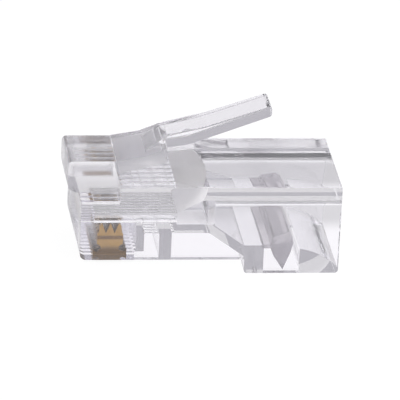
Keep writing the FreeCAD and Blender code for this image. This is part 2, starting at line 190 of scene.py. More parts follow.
def new_piece(name: str, mesh_builder: bmesh.types.BMesh) -> bpy.types.Object:
    """Make an object of a finished bmesh given in millimetres.

    Args:
        name: Name of the object and its mesh.
        mesh_builder: The mesh, which is freed.

    Returns:
        The object, linked to the scene, in metres.
    """
    bmesh.ops.recalc_face_normals(mesh_builder, faces=mesh_builder.faces)
    bmesh.ops.scale(mesh_builder, vec=(MM, MM, MM), verts=mesh_builder.verts)
    mesh = bpy.data.meshes.new(name)
    mesh_builder.to_mesh(mesh)
    mesh_builder.free()
    piece = bpy.data.objects.new(name, mesh)
    bpy.context.scene.collection.objects.link(piece)
    return piece


def prism(name: str, outline: Sequence[Vector], low: float, high: float, way: Way) -> bpy.types.Object:
    """Draw an outline out into a closed prism.

    Args:
        name: Name of the new object.
        outline: Points of the outline, in millimetres.
        low: Where the prism starts along its way, in millimetres.
        high: Where it ends, in millimetres.
        way: Across takes the outline as X and Z, along as Y and Z, and up as X and Y.

    Returns:
        The prism.
    """
    maker = bmesh.new()
    rings = []
    for depth in (low, high):
        if way is Way.ACROSS:
            places = [(point.x, depth, point.y) for point in outline]
        elif way is Way.UP:
            places = [(point.x, point.y, depth) for point in outline]
        else:
            places = [(depth, point.x, point.y) for point in outline]
        rings.append([maker.verts.new(place) for place in places])
    for ring in rings:
        maker.faces.new(ring)
    count = len(outline)
    for index in range(count):
        after = (index + 1) % count
        maker.faces.new((rings[0][index], rings[0][after], rings[1][after], rings[1][index]))
    return new_piece(name, maker)


def settle(piece: bpy.types.Object) -> None:
    """Make what the piece's modifiers give its own mesh.

    Args:
        piece: The object whose modifiers are applied.
    """
    view = bpy.context.evaluated_depsgraph_get()
    mesh = bpy.data.meshes.new_from_object(piece.evaluated_get(view), depsgraph=view)
    piece.modifiers.clear()
    piece.data = mesh
    mesh.name = piece.name


def soften(piece: bpy.types.Object, rounds: Sequence[Round], segments: int = 5) -> None:
    """Round chosen edges of a prism, each by its own radius.

    Args:
        piece: The prism.
        rounds: The radii and the tests that pick their edges by middle and direction, in millimetres.
        segments: Number of facets across each rounded edge.
    """
    widest = max(item.radius for item in rounds)
    maker = bmesh.new()
    maker.from_mesh(piece.data)
    weight = maker.edges.layers.float.new("bevel_weight_edge")
    for edge in maker.edges:
        ends = [vert.co / MM for vert in edge.verts]
        middle, run = (ends[0] + ends[1]) / 2, (ends[1] - ends[0]).normalized()
        for item in rounds:
            if item.picks(middle, run):
                edge[weight] = item.radius / widest
    maker.to_mesh(piece.data)
    maker.free()
    bevel = piece.modifiers.new("edges", "BEVEL")
    bevel.limit_method = "WEIGHT"
    bevel.width = widest * MM
    bevel.segments = segments
    settle(piece)


def combine(piece: bpy.types.Object, tools: Sequence[bpy.types.Object], cut: Cut) -> None:
    """Join, remove or keep what a piece shares with other solids, which are used up.

    Args:
        piece: The solid that is changed.
        tools: The solids that act on it.
        cut: What they do.
    """
    group = bpy.data.collections.new("tools")
    bpy.context.scene.collection.children.link(group)
    for tool in tools:
        group.objects.link(tool)
    solver = piece.modifiers.new("combine", "BOOLEAN")
    solver.operation = cut.value
    solver.operand_type = "COLLECTION"
    solver.collection = group
    solver.solver = "EXACT"
    solver.material_mode = "TRANSFER"
    settle(piece)
    for tool in list(tools):
        bpy.data.objects.remove(tool)
    bpy.data.collections.remove(group)


def dress(piece: bpy.types.Object, material: bpy.types.Material) -> bpy.types.Object:
    """Give a whole piece one material.

    Args:
        piece: The piece.
        material: Its material.

    Returns:
        The same piece.
    """
    piece.data.materials.clear()
    piece.data.materials.append(material)
    return piece


def smooth_shade(piece: bpy.types.Object, crease: float = 25.0) -> None:
    """Shade rounds smoothly and keep flats flat.

    Args:
        piece: The piece.
        crease: Angle between faces from which an edge stays sharp, in degrees.
    """
    maker = bmesh.new()
    maker.from_mesh(piece.data)
    bmesh.ops.triangulate(maker, faces=maker.faces, ngon_method="BEAUTY")
    bmesh.ops.remove_doubles(maker, verts=maker.verts, dist=MERGE)
    bmesh.ops.dissolve_degenerate(maker, edges=maker.edges, dist=1e-7)
    slivers = [face for face in maker.faces
               if face.calc_area() < MERGE * MM and any(edge.is_boundary for edge in face.edges)]
    bmesh.ops.delete(maker, geom=slivers, context="FACES_ONLY")
    loose = [edge for edge in maker.edges if not edge.link_faces]
    bmesh.ops.delete(maker, geom=loose, context="EDGES")
    maker.to_mesh(piece.data)
    maker.free()
    mesh = piece.data
    mesh.shade_smooth()
    mesh.set_sharp_from_angle(angle=math.radians(crease))
    weighted = piece.modifiers.new("flats", "WEIGHTED_NORMAL")
    weighted.keep_sharp = True
    weighted.weight = 80
    settle(piece)


@dataclass
class NodeDesk:
    """Places nodes in one tree and links them, so that materials read as short lists."""

    tree: bpy.types.NodeTree

    def add(self, kind: str, **inputs: object) -> bpy.types.Node:
        """Add a node and set or link its inputs by name.

        Args:
            kind: The node's type.
            **inputs: Values or sockets, by input name with underscores for spaces.

        Returns:
            The new node.
        """
        node = self.tree.nodes.new(kind)
        for name, value in inputs.items():
            self.feed(node.inputs[name.replace("_", " ")], value)
        return node

    def feed(self, socket: bpy.types.NodeSocket, value: object) -> None:
        """Set a socket to a value, or link another socket to it.

        Args:
            socket: The input.
            value: What it gets.
        """
        if isinstance(value, bpy.types.NodeSocket):
            self.tree.links.new(value, socket)
        else:
            socket.default_value = value

    def math(
        self, operation: str, first: object, second: object = 0.0, clamp: bool = False
    ) -> bpy.types.NodeSocket:
        """Add a Math node.

        Args:
            operation: What it does.
            first: Its first value or socket.
            second: Its second value or socket.
            clamp: Whether the result is kept from 0 to 1.

        Returns:
            The result's socket.
        """
        node = self.tree.nodes.new("ShaderNodeMath")
        node.operation = operation
        node.use_clamp = clamp
        self.feed(node.inputs[0], first)
        self.feed(node.inputs[1], second)
        return node.outputs[0]

    def noise(
        self, vector: object, scale: float, detail: float = 2.0, roughness: float = 0.5
    ) -> bpy.types.NodeSocket:
        """Add a noise pattern and give its value, from 0 to 1."""
        node = self.add("ShaderNodeTexNoise", Vector=vector, Scale=scale, Detail=detail, Roughness=roughness)
        return node.outputs["Fac"]

    def stretch(self, vector: object, scale: Sequence[float]) -> bpy.types.NodeSocket:
        """Scale coordinates along each axis.

        Args:
            vector: The coordinates.
            scale: The three factors.

        Returns:
            The scaled coordinates.
        """
        node = self.tree.nodes.new("ShaderNodeMapping")
        node.inputs["Scale"].default_value = scale
        self.feed(node.inputs["Vector"], vector)
        return node.outputs[0]

    def ramp(self, factor: object, low: float, high: float) -> bpy.types.NodeSocket:
        """Map 0 to 1 onto low to high and give the result."""
        node = self.add("ShaderNodeMapRange", Value=factor, To_Min=low, To_Max=high)
        return node.outputs[0]

    def rise(self, value: object, start: float, end: float) -> bpy.types.NodeSocket:
        """Go smoothly from 0 to 1.

        Args:
            value: The value that is followed.
            start: Where the result leaves 0.
            end: Where it reaches 1.

        Returns:
            The result's socket.
        """
        node = self.add("ShaderNodeMapRange", Value=value, From_Min=start, From_Max=end)
        node.interpolation_type = "SMOOTHSTEP"
        return node.outputs[0]

    def blend(self, factor: object, first: object, second: object) -> bpy.types.NodeSocket:
        """Mix two colours.

        Args:
            factor: 0 for the first colour and 1 for the second.
            first: The first colour.
            second: The second colour.

        Returns:
            The mixed colour's socket.
        """
        node = self.tree.nodes.new("ShaderNodeMix")
        node.data_type = "RGBA"
        self.feed(node.inputs[0], factor)
        self.feed(node.inputs[6], first)
        self.feed(node.inputs[7], second)
        return node.outputs[2]


def blank_material(name: str) -> tuple[bpy.types.Material, NodeDesk]:
    """Start a material with an empty node tree.

    Args:
        name: Name of the material.

    Returns:
        The material and the desk that places its nodes.
    """
    material = bpy.data.materials.new(name)
    material.use_nodes = True
    material.node_tree.nodes.clear()
    return material, NodeDesk(material.node_tree)


def moulded_surface_group() -> bpy.types.NodeTree:
    """Build the node group for the skin of a moulding: slow waviness, flow lines and fine scuffs.

    Returns:
        The group, with Wave, Flow and Scuff as its strengths and Height, Roughness and Haze as its outputs.
    """
    group = bpy.data.node_groups.new("moulded_surface", "ShaderNodeTree")
    for name, default in (("Wave", 1.0), ("Flow", 0.3), ("Scuff", 0.2), ("Base Roughness", 0.01)):
        socket = group.interface.new_socket(name, in_out="INPUT", socket_type="NodeSocketFloat")
        socket.default_value = default
    for name in ("Height", "Roughness", "Haze"):
        group.interface.new_socket(name, in_out="OUTPUT", socket_type="NodeSocketFloat")
    desk = NodeDesk(group)
    given = group.nodes.new("NodeGroupInput")
    shown = group.nodes.new("NodeGroupOutput")
    place = group.nodes.new("ShaderNodeTexCoord").outputs["Object"]
    wave = desk.noise(place, 650.0, detail=1.0)
    flow = desk.noise(desk.stretch(place, (260.0, 900.0, 2600.0)), 1.0, detail=3.0)
    scuff = desk.noise(desk.stretch(place, (2200.0, 5200.0, 5200.0)), 1.0, detail=4.0, roughness=0.7)
    height = desk.math("MULTIPLY", wave, given.outputs["Wave"])
    height = desk.math("ADD", height, desk.math("MULTIPLY", flow, given.outputs["Flow"]))
    height = desk.math("ADD", height, desk.math("MULTIPLY", scuff, given.outputs["Scuff"]))
    worn = desk.math("MULTIPLY", scuff, given.outputs["Scuff"])
    rough = desk.math("ADD", given.outputs["Base Roughness"], desk.math("MULTIPLY", worn, 0.05))
    desk.feed(shown.inputs["Height"], height)
    desk.feed(shown.inputs["Roughness"], rough)
    desk.feed(shown.inputs["Haze"], desk.math("MULTIPLY", flow, worn))
    return group


@dataclass(frozen=True)
class ClearFinish:
    """Clear moulded polycarbonate."""

    name: str
    tint: Colour = (0.975, 0.972, 0.985)
    roughness: float = 0.004
    wave: float = 1.0
    flow: float = 0.25
    scuff: float = 0.05
    relief: float = 0.0005
    index: float = 1.585
    clearness: float = 0.975
    shadow: Colour = (0.93, 0.93, 0.945)

    def build(self, skin: bpy.types.NodeTree) -> bpy.types.Material:
        """Make the material.

        Args:
            skin: The shared group for a moulding's skin.

        Returns:
            The material.
        """
        material, desk = blank_material(self.name)
        surface = desk.add("ShaderNodeGroup")
        surface.node_tree = skin
        for name, value in (("Wave", self.wave), ("Flow", self.flow), ("Scuff", self.scuff)):
            surface.inputs[name].default_value = value
        surface.inputs["Base Roughness"].default_value = self.roughness
        height = surface.outputs["Height"]
        bump = desk.add("ShaderNodeBump", Height=height, Strength=1.0, Distance=self.relief * MM)
        pale = tuple(min(1.0, part * 1.006) for part in self.tint)
        tint = desk.blend(surface.outputs["Haze"], (*pale, 1.0), (*self.tint, 1.0))
        glass = desk.add(
            "ShaderNodeBsdfPrincipled",
            Base_Color=tint,
            Roughness=surface.outputs["Roughness"],
            IOR=self.index,
            Transmission_Weight=self.clearness,
            Normal=bump.outputs["Normal"],
        )
        clear = desk.add("ShaderNodeBsdfTransparent", Color=(*self.shadow, 1.0))
        path = desk.add("ShaderNodeLightPath")
        mix = desk.add("ShaderNodeMixShader", Fac=path.outputs["Is Shadow Ray"])
        desk.feed(mix.inputs[1], glass.outputs[0])
        desk.feed(mix.inputs[2], clear.outputs[0])
        desk.add("ShaderNodeOutputMaterial", Surface=mix.outputs[0])
        return material


@dataclass(frozen=True)
class SeamFinish:
    """The inside of a root, where two pieces are one moulding and nothing shows."""

    name: str = "joined_root"

    def build(self) -> bpy.types.Material:
        """Make the material, which shows nothing.

        Returns:
            The material.
        """
        material, desk = blank_material(self.name)
        clear = desk.add("ShaderNodeBsdfTransparent", Color=(1.0, 1.0, 1.0, 1.0))
        desk.add("ShaderNodeOutputMaterial", Surface=clear.outputs[0])
        return material


@dataclass(frozen=True)
class GoldFinish:
    """Gold plate on stamped phosphor bronze."""

    name: str = "gold_plate"
    bright: Colour = (0.52, 0.31, 0.085)
    deep: Colour = (0.17, 0.085, 0.025)
    # Heights of the painted shade band across each blade, in millimetres.
    band: tuple[float, float] = (2.62, 2.95)
    foot: tuple[float, float] = (1.75, 2.15)
    blur: float = 0.05
    relief: float = 0.0008
    sheen: tuple[float, float] = (0.22, 0.42)

    def build(self) -> bpy.types.Material:
        """Make the material, with the fine upright grain of the stamping, soft stains, a band of painted
        shade across each blade and gold that darkens towards the foot.

        Returns:
            The material.
        """
        material, desk = blank_material(self.name)
        place = desk.add("ShaderNodeTexCoord").outputs["Object"]
        grain = desk.noise(desk.stretch(place, (18000.0, 2500.0, 1500.0)), 1.0, detail=3.0, roughness=0.6)
        stain = desk.noise(place, 1400.0, detail=3.0)
        height = desk.add("ShaderNodeSeparateXYZ", Vector=place).outputs["Z"]
        # Painted shade: a dark band across each blade; below it the gold darkens towards the foot.
        low, high = (edge * MM for edge in self.band)
        far = desk.math("ABSOLUTE", desk.math("SUBTRACT", height, (low + high) / 2))
        reach, blur = (high - low) / 2, self.blur * MM
        band = desk.math("SUBTRACT", 1.0, desk.rise(far, reach - blur, reach + blur))
        foot = desk.math("SUBTRACT", 1.0, desk.rise(height, self.foot[0] * MM, self.foot[1] * MM))
        dark = desk.math("MAXIMUM", band, desk.math("MULTIPLY", foot, 0.7))
        dark, stain = desk.math("MULTIPLY", dark, 0.75), desk.math("MULTIPLY", stain, 0.35)
        dark = desk.math("ADD", dark, stain, clamp=True)
        colour = desk.blend(dark, (*self.bright, 1.0), (*self.deep, 1.0))
        bump = desk.add("ShaderNodeBump", Height=grain, Strength=1.0, Distance=self.relief * MM)
        metal = desk.add(
            "ShaderNodeBsdfPrincipled",
            Base_Color=colour,
            Metallic=1.0,
            Roughness=desk.ramp(grain, *self.sheen),
            Normal=bump.outputs["Normal"],
        )
        desk.add("ShaderNodeOutputMaterial", Surface=metal.outputs[0])
        return material


@dataclass(frozen=True)
class Palette:
    """The finishes of the plug, built once."""

    clear: bpy.types.Material
    latch: bpy.types.Material
    textured: bpy.types.Material
    slope: bpy.types.Material
    bar: bpy.types.Material
    nose: bpy.types.Material
    seam: bpy.types.Material
    gold: bpy.types.Material

    @classmethod
    def build(cls) -> "Palette":
        """Build every finish.

        Returns:
            The palette.
        """
        skin = moulded_surface_group()
        return cls(
            clear=ClearFinish("clear_moulding").build(skin),
            latch=ClearFinish("clear_latch", flow=0.5).build(skin),
            # Painted shade: this finish's grey tint darkens the latch's underside; its roughness and bumps
            # are the mould's texture.
            textured=ClearFinish("spark_textured", tint=(0.9, 0.885, 0.905), roughness=0.3, scuff=1.0,
                                 relief=0.004).build(skin),
            slope=ClearFinish("spark_textured_roof", tint=(1.0, 0.975, 0.965), roughness=0.14, scuff=1.0,
                              relief=0.004, clearness=0.6).build(skin),
            # Painted shade: the bar's dark grey tint stands in for the shade the clear bar shows; its
            # roughness and bumps are the mould's texture.
            bar=ClearFinish("spark_textured_bar_painted_shade", tint=(0.74, 0.715, 0.74), roughness=0.1, scuff=1.0,
                            relief=0.006, clearness=1.0).build(skin),
            nose=ClearFinish("softly_polished", roughness=0.15, relief=0.0016).build(skin),
            seam=SeamFinish().build(),
            gold=GoldFinish().build(),
        )


@dataclass
class Roots:
    """Axes of the two flexible roots, as station and height in millimetres."""

    latch_station: float = 4.26
    latch_height: float = 8.57
    latch_radius: float = 0.57
    bar_station: float = 16.69
    bar_height: float = 2.13
    bar_radius: float = 0.2


@dataclass
class Housing:
    """The main moulding: shell, nose block, contact slots, conductor channels and cable cavity."""

    datum: Datum
    palette: Palette
    roots: Roots
    width: float = 11.68
    face: float = 0.96
    shoulder: float = 4.26
    heel: float = 14.97
    length: float = 23.1
    rear_draft: float = 0.08
    belly: float = 1.25
    shoulder_height: float = 6.3
    top: float = 7.75
    nose_width: float = 6.17
    nose_top: float = 9.1
    chin_round: float = 0.85
    brow_round: float = 0.4
    pitch: float = 1.02
    contacts: int = 8
    slot_width: float = 0.42
    slot_rear: float = 5.83
    slot_roof: float = 4.2
    channel_radius: float = 0.54
    channel_height: float = 4.62
    channel_start: float = 2.2
    channel_mouth: float = 9.2
    pocket_width: float = 9.8
    front_pocket: float = 6.44
    front_pocket_ceiling: float = 3.4
    wall_foot: float = 1.8
    rib: tuple[float, float] = (7.73, 8.78)
    rear_pocket_ceiling: float = 3.45
    rear_pocket_bend: float = 11.97
    rear_pocket_heel: float = 1.33
    funnel_width: float = 8.9
    funnel_floor: float = 4.12
    funnel_roof: float = 5.14
    cavity_width: float = 9.8
    flare: float = 11.8
    funnel_rear: float = 11.4
    cavity_side_height: float = 6.28
    cavity_corner: float = 0.45
    cavity_crown: float = 6.6
    ramp: tuple[float, float] = (12.4, 14.95)
    beam_height: float = 2.3
    beam_rear: float = 16.69
    window_rear: float = 19.75
    sill_height: float = 1.97
    sill_rear_height: float = 0.2
    sill_radius: float = 5.4
    past: float = 0.2

    def rows(self) -> list[float]:
        """Give the Y of each contact and its channel, in millimetres."""
        return [self.pitch * (index - (self.contacts - 1) / 2) for index in range(self.contacts)]

    def shell(self) -> bpy.types.Object:
        """Make the long box with its raised belly and heel.

        Returns:
            The shell.
        """
        at, half = self.datum.corner, self.width / 2
        outline = rounded([
            at(self.face, self.belly, 0.55),
            at(self.heel, self.belly, 0.06),
            at(self.heel, 0.0, 0.28),
            at(self.length - self.rear_draft, 0.0, 0.28),
            at(self.length, self.top, 0.1),
            at(self.shoulder, self.top, 0.06),
            at(self.shoulder, self.shoulder_height, 0.1),
            at(self.face, self.shoulder_height, 0.06),
        ])
        shell = prism("housing_shell", outline, -half, half, Way.ACROSS)
        front, top = self.datum.x(self.face), self.top
        side = half - HAIR
        soften(shell, [
            Round(0.1, lambda middle, run: abs(middle.y) > side),
            Round(0.28, lambda middle, run: abs(middle.y) > side and middle.z > top - 10 * HAIR),
            Round(0.32, lambda middle, run: abs(middle.y) > side and middle.x < front + 10 * HAIR),
        ])
        return shell

    def nose_block(self) -> bpy.types.Object:
        """Make the block over the nose that carries the latch.

        Returns:
            The block.
        """
        at, half = self.datum.corner, self.nose_width / 2
        outline = rounded([
            at(0.0, self.shoulder_height, self.chin_round),
            at(self.shoulder, self.shoulder_height),
            at(self.shoulder, self.nose_top),
            at(0.0, self.nose_top, self.brow_round),
        ])
        block = prism("nose_block", outline, -half, half, Way.ACROSS)
        side, front = half - HAIR, self.datum.x(0.6)
        soften(block, [
            Round(0.08, lambda middle, run: abs(middle.y) > side),
            Round(self.chin_round,
                  lambda middle, run: abs(middle.y) > side and middle.x < front and abs(run.z) > 0.5),
        ])
        return block

    def channels(self) -> bpy.types.Object:
        """Make the space of the eight conductor channels, each open to the next.

        Returns:
            The space, as a solid to remove.
        """
        radius, half = self.channel_radius, self.pitch / 2
        reach = math.acos(half / radius)
        rows = self.rows()
        outline: list[Vector] = []
        for number, row in enumerate(rows):
            centre = Vector((row, self.channel_height))
            start = math.pi if number == 0 else math.pi - reach
            end = 0.0 if number == len(rows) - 1 else reach
            outline += arc_points(centre, radius, start, end - start, step=0.15)[:-1]
        for number, row in reversed(list(enumerate(rows))):
            centre = Vector((row, self.channel_height))
            start = 0.0 if number == len(rows) - 1 else -reach
            end = -math.pi if number == 0 else reach - math.pi
            outline += arc_points(centre, radius, start, end - start, step=0.15)[:-1]
        low, high = self.datum.x(self.channel_start), self.datum.x(self.channel_mouth + 0.05)
        return prism("channels", outline, low, high, Way.ALONG)

    def contact_slots(self) -> list[bpy.types.Object]:
        """Make the eight slots for the blades.

        Returns:
            The slots, as solids to remove.
        """
        at, half, past = self.datum.corner, self.slot_width / 2, self.past
        outline = rounded([
            at(self.face - 2 * past, -past),
            at(self.slot_rear, -past),
            at(self.slot_rear, self.slot_roof, 0.4),
            at(self.face - 2 * past, self.slot_roof),
        ])
        return [
            prism(f"slot_{number}", outline, row - half, row + half, Way.ACROSS)
            for number, row in enumerate(self.rows(), start=1)
        ]

    def pockets(self) -> list[bpy.types.Object]:
        """Make the two pockets in the underside, one each side of the cross rib.

        Returns:
            The pockets, as solids to remove.
        """
        at, half, past = self.datum.corner, self.pocket_width / 2, self.past
        first = rounded([
            at(self.slot_rear - past, -past),
            at(self.rib[0], -past),
            at(self.rib[0], self.front_pocket_ceiling, 0.08),
            at(self.front_pocket, self.front_pocket_ceiling, 0.08),
            at(self.front_pocket, self.wall_foot),
            at(self.slot_rear - past, self.wall_foot),
        ])
        second = rounded([
            at(self.rib[1], -past),
            at(self.heel, -past),
            at(self.heel, self.rear_pocket_heel),
            at(self.rear_pocket_bend, self.rear_pocket_ceiling, 0.5),
            at(self.rib[1], self.rear_pocket_ceiling, 0.08),
        ])
        return [
            prism("front_pocket", first, -half, half, Way.ACROSS),
            prism("rear_pocket", second, -half, half, Way.ACROSS),
        ]

    def sill_points(self) -> list[Vector]:
        """Place points along the curved sill, from the window back to the rear face.

        Returns:
            The points.
        """
        start = Vector((self.datum.x(self.window_rear), self.sill_height))
        end = Vector((self.datum.x(self.length), self.sill_rear_height))
        chord = end - start
        middle = (start + end) / 2
        drop = math.sqrt(self.sill_radius**2 - (chord.length / 2) ** 2)
        centre = middle + Vector((chord.y, -chord.x)).normalized() * drop
        first, last = start - centre, end - centre
        turn = math.atan2(first.x * last.y - first.y * last.x, first.dot(last))
        return arc_points(centre, self.sill_radius, math.atan2(first.y, first.x), turn, step=0.05)

    def arched(self, name: str, half: float, start: float) -> bpy.types.Object:
        """Make a space with an arched roof, to trim a cut of the cavity with.

        Args:
            name: Name of the solid.
            half: Half of its width; past the springing of the arch its upper corners are round.
            start: The station at which it starts.

        Returns:
            The solid.
        """
        corner, upright = self.cavity_corner, math.pi / 2
        springing, rise = self.cavity_width / 2 - corner, self.cavity_crown - self.cavity_side_height
        radius = (springing**2 + rise**2) / (2 * rise)
        swing = math.asin(springing / radius)
        centre = Vector((0.0, self.cavity_crown - radius))
        roof = arc_points(centre, radius, upright - swing, 2 * swing, step=0.012)
        if half > springing:
            half, foot = springing + corner, self.cavity_side_height - corner
            right = arc_points(Vector((springing, foot)), corner, 0.0, upright, step=0.2)
            left = arc_points(Vector((-springing, foot)), corner, upright, upright, step=0.2)
            roof = right[:-1] + roof + left[1:]
        outline = [Vector((-half, -1.0)), Vector((half, -1.0)), *roof]
        return prism(name, outline, self.datum.x(start), self.datum.x(self.length + 1.0), Way.ALONG)

    def funnel(self) -> bpy.types.Object:
        """Make the narrow front of the cavity, whose roof slopes down to the channels.

        Returns:
            The space, as a solid to remove.
        """
        at, behind = self.datum.corner, 0.3
        slope = (self.funnel_rear - self.channel_mouth) / (self.cavity_side_height - self.funnel_roof)
        crown_station = self.channel_mouth + slope * (self.cavity_crown - self.funnel_roof)
        outline = rounded([
            at(self.channel_mouth, self.funnel_floor),
            at(self.ramp[0] + behind, self.funnel_floor),
            at(self.ramp[0] + behind, self.cavity_crown),
            at(crown_station, self.cavity_crown),
            at(self.channel_mouth, self.funnel_roof),
        ])
        half = self.funnel_width / 2
        space = prism("funnel", outline, -half - 0.2, half + 0.2, Way.ACROSS)
        combine(space, [self.arched("funnel_arch", half, self.channel_mouth - 1.0)], Cut.KEEP_COMMON)
        return space

    def flare_space(self) -> bpy.types.Object:
        """Make the space between the funnel's sides and the wider cavity behind it.

        Returns:
            The space, as a solid to remove.
        """
        near, far = self.datum.x(self.flare), self.datum.x(self.ramp[0] + 0.1)
        narrow, wide = self.funnel_width / 2, self.cavity_width / 2
        plan = [Vector(place) for place in ((near, -narrow), (far, -wide), (far, wide), (near, narrow))]
        return prism("flare", plan, self.funnel_floor, self.cavity_side_height - self.cavity_corner, Way.UP)

    def cavity(self) -> bpy.types.Object:
        """Make the cable cavity with its ramp, window and sill.

        Returns:
            The space, as a solid to remove.
        """
        at = self.datum.corner
        floor = [
            at(self.ramp[0], self.cavity_crown + 0.4),
            at(self.ramp[0], self.funnel_floor),
            at(self.ramp[1], self.beam_height),
            at(self.beam_rear, self.beam_height),
            at(self.beam_rear, -0.6),
            at(self.window_rear, -0.6),
        ]
        rear = self.datum.x(self.length + 0.5)
        outline = rounded(floor) + self.sill_points()
        outline += [Vector((rear, self.sill_rear_height - 0.2)), Vector((rear, self.cavity_crown + 0.4))]
        half = self.cavity_width / 2
        space = prism("cavity", outline, -half - 0.2, half + 0.2, Way.ACROSS)
        combine(space, [self.arched("cavity_arch", half, self.ramp[0] - 1.0)], Cut.KEEP_COMMON)
        return space

    def seat(self, name: str, station: float, height: float, radius: float, width: float) -> bpy.types.Object:
        """Make the round seat of a flexible root.

        Args:
            name: Name of the solid.
            station: Station of the root's axis.
            height: Height of the root's axis.
            radius: Radius of the seat.
            width: Width of the seat.

        Returns:
            The seat, as a solid to remove.
        """
        centre = Vector((self.datum.x(station), height))
        circle = arc_points(centre, radius, 0.0, 2 * math.pi, step=0.09)[:-1]
        return dress(prism(name, circle, -width / 2, width / 2, Way.ACROSS), self.palette.seam)

    def mark_slope(self, piece: bpy.types.Object) -> None:
        """Give the funnel's sloping roof the finish of a textured mould.

        Args:
            piece: The housing.
        """
        piece.data.materials.append(self.palette.slope)
        textured = len(piece.data.materials) - 1
        for face in piece.data.polygons:
            middle = face.center / MM
            inside = self.datum.x(self.channel_mouth) < middle.x < self.datum.x(self.ramp[0])
            if inside and middle.z > self.funnel_roof and face.normal.x > 0.3 and face.normal.z < -0.8:
                face.material_index = textured

    def build(self) -> bpy.types.Object:
        """Build the housing and put it on its body.

        Returns:
            The housing.
        """
        housing = dress(self.shell(), self.palette.clear)
        block = dress(self.nose_block(), self.palette.nose)
        combine(housing, [block], Cut.JOIN)
        spaces = [self.channels(), self.funnel(), self.flare_space(), self.cavity(), *self.pockets()]
        spaces += self.contact_slots()
        for space in spaces:
            dress(space, self.palette.clear)
        combine(housing, spaces, Cut.REMOVE)
        roots = self.roots
        seats = [
            self.seat("latch_seat", roots.latch_station, roots.latch_height, roots.latch_radius, self.width),
            self.seat("bar_seat", roots.bar_station, roots.bar_height, roots.bar_radius, 9.5),
        ]
        combine(housing, seats, Cut.REMOVE)
        self.mark_slope(housing)
        smooth_shade(housing)
        housing.name = "housing"
        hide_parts("plug_body")
        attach(housing, "plug")
        return housing


@dataclass
class Latch:
    """The latch: a wide arm with two catches, and the narrower lever that rises from it."""

    datum: Datum
    palette: Palette
    roots: Roots
    arm_width: float = 6.17
    lever_width: float = 3.4
    arm_kink: tuple[float, float] = (6.6, 9.55)
    catch: tuple[float, float] = (8.36, 10.27)
    catch_heel: tuple[float, float] = (8.42, 8.99)
    lever_start: tuple[float, float] = (8.25, 10.85)
    lever_bend: tuple[float, float] = (11.9, 11.75)
    lever_tip: tuple[float, float] = (17.35, 13.56)
    lever_tip_under: float = 12.62
    tip_round: float = 0.3
    under_bend: tuple[float, float] = (10.3, 10.04)
    under_start: tuple[float, float] = (8.5, 9.8)

    def arm(self) -> bpy.types.Object:
        """Make the arm with its round root.

        Returns:
            The arm.
        """
        at = self.datum.corner
        pivot = Vector((self.datum.x(self.roots.latch_station), self.roots.latch_height))
        outline = rooted(pivot, self.roots.latch_radius, [
            at(*self.catch_heel, 0.08),
            at(*self.catch, 0.1),
            at(*self.arm_kink),
        ])
        half = self.arm_width / 2
        arm = prism("latch_arm", outline, -half, half, Way.ACROSS)
        side, free = half - HAIR, self.datum.x(self.roots.latch_station) + 0.05
        edges = Round(0.07, lambda middle, run: abs(middle.y) > side and middle.x > free)
        soften(arm, [edges], segments=3)
        return arm

    def lever(self) -> bpy.types.Object:
        """Make the lever.

        Returns:
            The lever.
        """
        at = self.datum.corner
        outline = rounded([
            at(self.arm_kink[0] + 0.4, self.arm_kink[1] - 0.4),
            at(self.catch[0], self.catch_heel[1] + 0.3),
            at(*self.under_start, 0.1),
            at(*self.under_bend, 4.0),
            at(self.lever_tip[0], self.lever_tip_under, self.tip_round),
            at(*self.lever_tip, self.tip_round),
            at(*self.lever_bend, 8.0),
            at(*self.lever_start, 1.2),
            at(self.arm_kink[0] + 0.02, self.arm_kink[1]),
        ])
        half = self.lever_width / 2
        lever = prism("latch_lever_bar", outline, -half, half, Way.ACROSS)
        side = half - HAIR
        soften(lever, [Round(0.2, lambda middle, run: abs(middle.y) > side)], segments=4)
        return lever

    def mark_texture(self, piece: bpy.types.Object) -> None:
        """Give the underside of the arm the finish of the textured mould, whose grey tint is painted shade.

        Args:
            piece: The latch.
        """
        piece.data.materials.append(self.palette.textured)
        textured = len(piece.data.materials) - 1
        start, end = self.datum.x(self.roots.latch_station), self.datum.x(self.catch[0])
        for face in piece.data.polygons:
            middle = face.center / MM
            if start + 0.3 < middle.x < end - 0.1 and face.normal.z < -0.7:
                face.material_index = textured

    def mark_root(self, piece: bpy.types.Object) -> None:
        """Give the part of the root inside the nose block the finish of a joined root.

        Args:
            piece: The latch.
        """
        piece.data.materials.append(self.palette.seam)
        seam = len(piece.data.materials) - 1
        axis = Vector((self.datum.x(self.roots.latch_station), 0.0, self.roots.latch_height))
        for face in piece.data.polygons:
            middle = face.center / MM - axis
            reach = math.hypot(middle.x, middle.z)
            if middle.x < 0.0 and abs(reach - self.roots.latch_radius) < 0.02 and abs(face.normal.y) < 0.5:
                face.material_index = seam

    def build(self) -> bpy.types.Object:
        """Build the latch and put it on its body.

        Returns:
            The latch.
        """
        latch = dress(self.arm(), self.palette.latch)
        combine(latch, [dress(self.lever(), self.palette.latch)], Cut.JOIN)
        self.mark_texture(latch)
        self.mark_root(latch)
        smooth_shade(latch)
        latch.name = "latch_moulding"
        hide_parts("latch_lever")
        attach(latch, "latch")
        return latch


